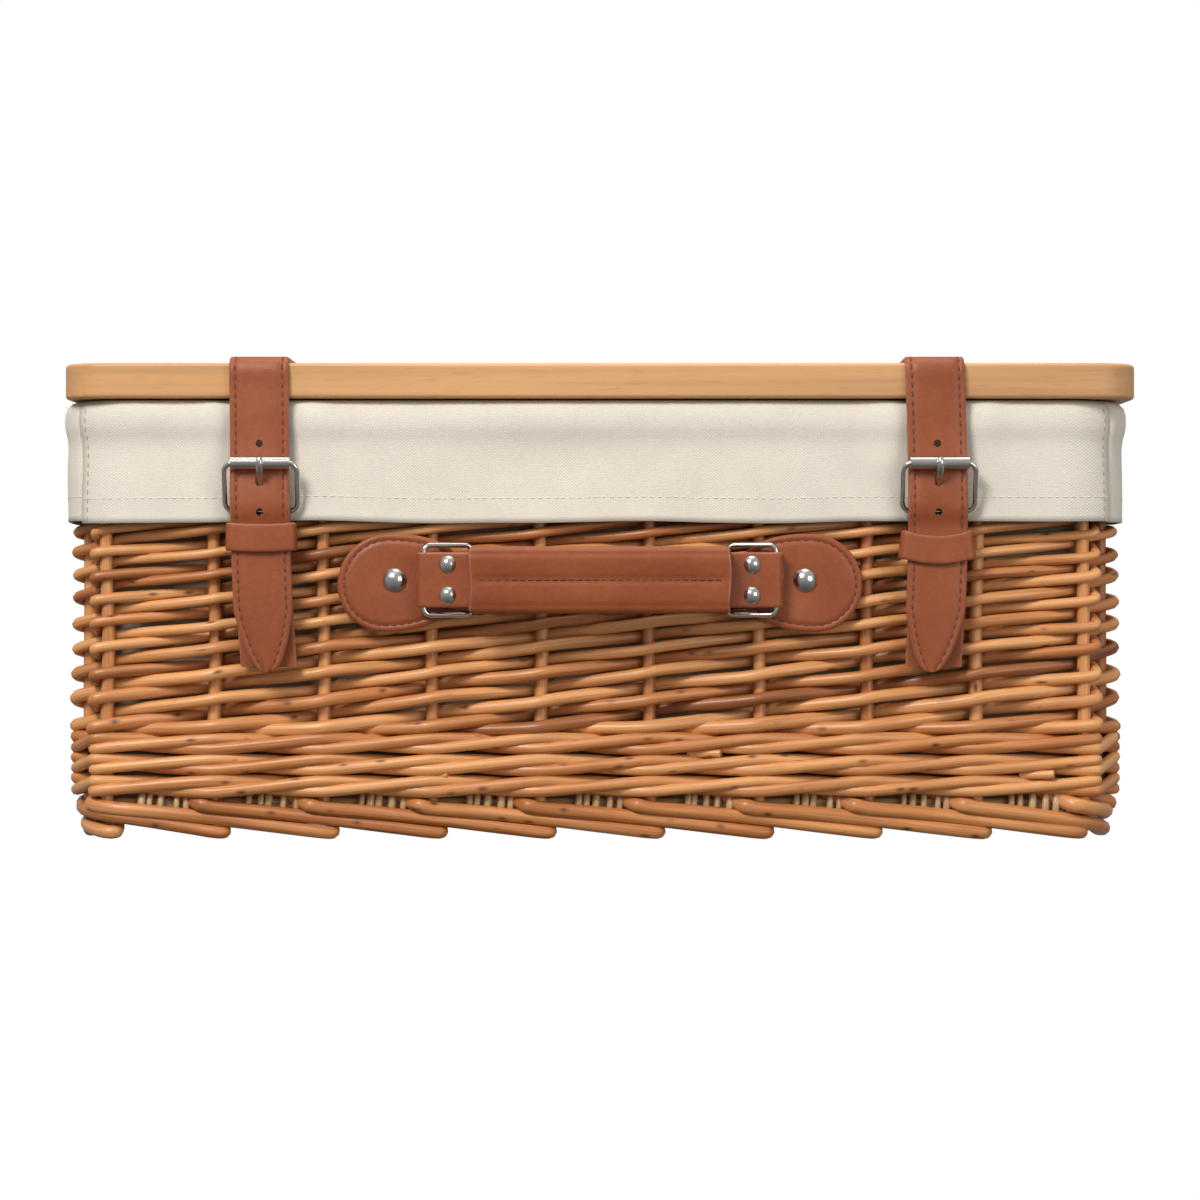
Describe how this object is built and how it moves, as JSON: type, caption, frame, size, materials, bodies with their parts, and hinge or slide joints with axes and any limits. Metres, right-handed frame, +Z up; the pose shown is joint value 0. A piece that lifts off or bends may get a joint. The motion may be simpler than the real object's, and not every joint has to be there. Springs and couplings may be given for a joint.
{
  "type": "wicker hamper basket",
  "caption": "Rectangular woven willow hamper with a cloth liner, a hinged board lid, leather buckle straps and a leather grip on wire rings.",
  "frame": {"origin": "on the surface that the basket stands on, under the centre of its bounding box", "axes": "+X along the basket's long side, to the right as seen from the front; +Y from front to back; +Z up"},
  "size_m": [0.46, 0.3316, 0.2079],
  "materials": {
    "willow": "buff willow rods, semi-gloss",
    "canvas": "unbleached cotton canvas",
    "pine": "oiled board, fine grain",
    "leather": "smooth vegetable-tanned leather, stitched",
    "nickel": "nickel plate, lightly brushed",
    "felt": "wool felt padding"
  },
  "bodies": {
    "basket": {"back_stakes": "willow", "base_sticks": "willow", "base_weave": "willow", "foot_border": "willow", "front_stakes": "willow", "left_stakes": "willow", "liner_back_panel": "canvas", "liner_floor": "canvas", "liner_front_panel": "canvas", "liner_left_panel": "canvas", "liner_right_panel": "canvas", "lower_wale": "willow", "right_stakes": "willow", "side_weave": "willow", "top_border": "willow", "upper_wale": "willow", "left_strap_anchor": "leather", "right_strap_anchor": "leather", "strap_anchor_rivets": "nickel", "left_buckle_tab": "leather", "right_buckle_tab": "leather", "buckle_tab_rivets": "nickel", "left_handle_pad": "leather", "right_handle_pad": "leather", "handle_pad_rivets": "nickel", "rivet_washers": "nickel"},
    "lid": {"lid_board": "pine", "lid_battens": "pine", "batten_screws": "nickel", "left_strap": "leather", "right_strap": "leather", "strap_screws": "nickel"},
    "left_tail": {"left_strap_tail": "leather"},
    "right_tail": {"right_strap_tail": "leather"},
    "left_buckle": {"left_buckle_frame": "nickel"},
    "right_buckle": {"right_buckle_frame": "nickel"},
    "left_buckle_prong": {"left_prong": "nickel"},
    "right_buckle_prong": {"right_prong": "nickel"},
    "left_buckle_roller": {"left_roller": "nickel"},
    "right_buckle_roller": {"right_roller": "nickel"},
    "left_strap_keeper": {"left_keeper": "leather"},
    "right_strap_keeper": {"right_keeper": "leather"},
    "grip": {"handle_cover": "leather", "handle_core": "felt"},
    "left_end_loop": {"left_handle_loop": "leather", "left_loop_rivets": "nickel"},
    "right_end_loop": {"right_handle_loop": "leather", "right_loop_rivets": "nickel"},
    "left_ring": {"left_handle_ring": "nickel"},
    "right_ring": {"right_handle_ring": "nickel"}
  },
  "joints": [
    {"name": "lid_hinge", "type": "hinge", "parent": "basket", "child": "lid", "pos_m": [0, 0.16255, 0.1885], "axis": [-1, 0, 0], "range_deg": [0, 105]},
    {"name": "handle_pull", "type": "slide", "parent": "basket", "child": "grip", "axis": [0, -1, 0], "range_m": [0, 0.018]},
    {"name": "left_tail_lift", "type": "hinge", "parent": "lid", "child": "left_tail", "pos_m": [-0.144, -0.14775, 0.2035], "axis": [-1, 0, 0], "range_deg": [0, 110], "deforming": ["left_strap_tail"]},
    {"name": "left_buckle_swing", "type": "hinge", "parent": "basket", "child": "left_buckle", "pos_m": [-0.144, -0.14775, 0.1403], "axis": [1, 0, 0], "range_deg": [0, 60]},
    {"name": "left_prong_swing", "type": "hinge", "parent": "left_buckle", "child": "left_buckle_prong", "pos_m": [-0.144, -0.14775, 0.1403], "axis": [1, 0, 0], "range_deg": [0, 50]},
    {"name": "left_roller_spin", "type": "hinge", "parent": "left_buckle", "child": "left_buckle_roller", "pos_m": [-0.144, -0.15505, 0.1606], "axis": [1, 0, 0], "continuous": true},
    {"name": "left_keeper_slide", "type": "slide", "parent": "basket", "child": "left_strap_keeper", "axis": [0, 0, 1], "range_m": [-0.018, 0]},
    {"name": "left_ring_swing", "type": "hinge", "parent": "basket", "child": "left_ring", "pos_m": [-0.0545, -0.14635, 0.111], "axis": [0, 0, 1], "range_deg": [0, 28]},
    {"name": "left_loop_fold", "type": "hinge", "parent": "grip", "child": "left_end_loop", "pos_m": [-0.057, -0.15365, 0.111], "axis": [0, 0, -1], "range_deg": [0, 33]},
    {"name": "right_tail_lift", "type": "hinge", "parent": "lid", "child": "right_tail", "pos_m": [0.144, -0.14775, 0.2035], "axis": [-1, 0, 0], "range_deg": [0, 110], "deforming": ["right_strap_tail"]},
    {"name": "right_buckle_swing", "type": "hinge", "parent": "basket", "child": "right_buckle", "pos_m": [0.144, -0.14775, 0.1403], "axis": [1, 0, 0], "range_deg": [0, 60]},
    {"name": "right_prong_swing", "type": "hinge", "parent": "right_buckle", "child": "right_buckle_prong", "pos_m": [0.144, -0.14775, 0.1403], "axis": [1, 0, 0], "range_deg": [0, 50]},
    {"name": "right_roller_spin", "type": "hinge", "parent": "right_buckle", "child": "right_buckle_roller", "pos_m": [0.144, -0.15505, 0.1606], "axis": [1, 0, 0], "continuous": true},
    {"name": "right_keeper_slide", "type": "slide", "parent": "basket", "child": "right_strap_keeper", "axis": [0, 0, 1], "range_m": [-0.018, 0]},
    {"name": "right_ring_swing", "type": "hinge", "parent": "basket", "child": "right_ring", "pos_m": [0.0545, -0.14635, 0.111], "axis": [0, 0, -1], "range_deg": [0, 28]},
    {"name": "right_loop_fold", "type": "hinge", "parent": "grip", "child": "right_end_loop", "pos_m": [0.057, -0.15365, 0.111], "axis": [0, 0, 1], "range_deg": [0, 33]}
  ],
  "couplings": [
    {"joint": "left_ring_swing", "follows": "handle_pull", "rad_per_m": 25.9},
    {"joint": "left_loop_fold", "follows": "handle_pull", "rad_per_m": 31},
    {"joint": "right_ring_swing", "follows": "handle_pull", "rad_per_m": 25.9},
    {"joint": "right_loop_fold", "follows": "handle_pull", "rad_per_m": 31}
  ]
}
